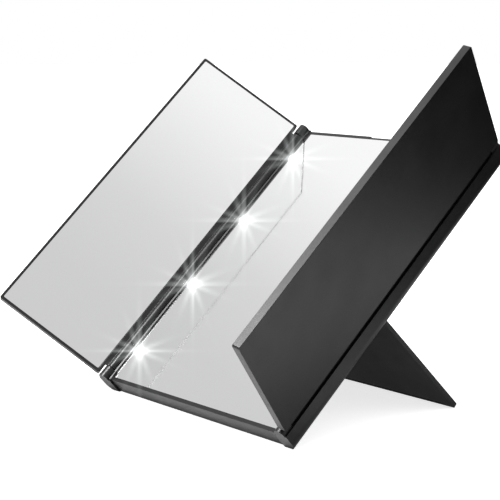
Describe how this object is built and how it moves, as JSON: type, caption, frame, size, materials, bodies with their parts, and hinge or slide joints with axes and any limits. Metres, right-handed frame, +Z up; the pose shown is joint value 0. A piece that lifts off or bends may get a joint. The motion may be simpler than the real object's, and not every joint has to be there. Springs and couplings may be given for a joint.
{
  "type": "lighted vanity mirror",
  "caption": "Folding three-panel vanity mirror in thin black trays, with lamps along both sides of the centre mirror and a swing-out stand leg.",
  "frame": {"origin": "middle of the flat facet under the stand leg's rubber foot strip, on the table that the mirror stands on", "axes": "+Z up from the table; +X to the right of a person who looks into the centre mirror, along every hinge's cross direction; -Y towards that person, so the mirrors face -Y and up"},
  "size_m": [0.1626, 0.1433, 0.1379],
  "materials": {
    "black_housing": "satin moulded black",
    "black_cover": "fine matt texture",
    "black_wing": "satin moulded black",
    "black_leg": "satin moulded black",
    "black_knob": "matt",
    "mirror_glass": "polished silvered glass",
    "clear_lens": "clear moulded",
    "led_emitter": "lit white lamp",
    "white_board": "white solder mask",
    "green_board": "green solder mask",
    "black_chip": "moulded epoxy",
    "switch_metal": "tinned",
    "cell_metal": "brushed",
    "contact_metal": "plated spring strip",
    "steel_screw": "plated",
    "pin_steel": "drawn wire",
    "white_tape": "foam adhesive",
    "red_insulation": "wire insulation",
    "black_insulation": "wire insulation",
    "foot_rubber": "matt"
  },
  "bodies": {
    "center_panel": {"center_housing": "black_housing", "rear_cover": "black_cover", "cover_screws": "steel_screw", "center_mirror": "mirror_glass", "center_mirror_tape": "white_tape", "left_lenses": "clear_lens", "right_lenses": "clear_lens", "left_leds": "led_emitter", "right_leds": "led_emitter", "left_led_board": "white_board", "right_led_board": "white_board", "main_board": "green_board", "board_components": "black_chip", "switch_body": "switch_metal", "coin_cell_a": "cell_metal", "coin_cell_b": "cell_metal", "positive_contact": "contact_metal", "negative_contact": "contact_metal", "cell_link": "contact_metal", "battery_door": "black_cover", "battery_door_screws": "steel_screw", "red_wires": "red_insulation", "black_wires": "black_insulation", "left_hinge_pins": "pin_steel", "right_hinge_pins": "pin_steel"},
    "left_wing": {"left_wing_shell": "black_wing", "left_wing_tape": "white_tape", "left_wing_mirror": "mirror_glass"},
    "right_wing": {"right_wing_shell": "black_wing", "right_wing_tape": "white_tape", "right_wing_mirror": "mirror_glass"},
    "leg": {"stand_leg": "black_leg", "leg_pins": "pin_steel", "foot_strip": "foot_rubber"},
    "knob": {"switch_knob": "black_knob"}
  },
  "joints": [
    {"name": "left_wing_fold", "type": "hinge", "parent": "center_panel", "child": "left_wing", "pos_m": [-0.054, -0.04053, 0.05335], "axis": [0, 0.7373, 0.6756], "range_deg": [-21, 129]},
    {"name": "right_wing_fold", "type": "hinge", "parent": "center_panel", "child": "right_wing", "pos_m": [0.054, -0.04053, 0.05335], "axis": [0, -0.7373, -0.6756], "range_deg": [-43, 107]},
    {"name": "leg_swing", "type": "hinge", "parent": "center_panel", "child": "leg", "pos_m": [0, -0.04108, 0.04004], "axis": [-1, 0, 0], "range_deg": [0, 93.66]},
    {"name": "switch_slide", "type": "slide", "parent": "center_panel", "child": "knob", "axis": [0, -0.7373, -0.6756], "range_m": [0, 0.0024]}
  ]
}
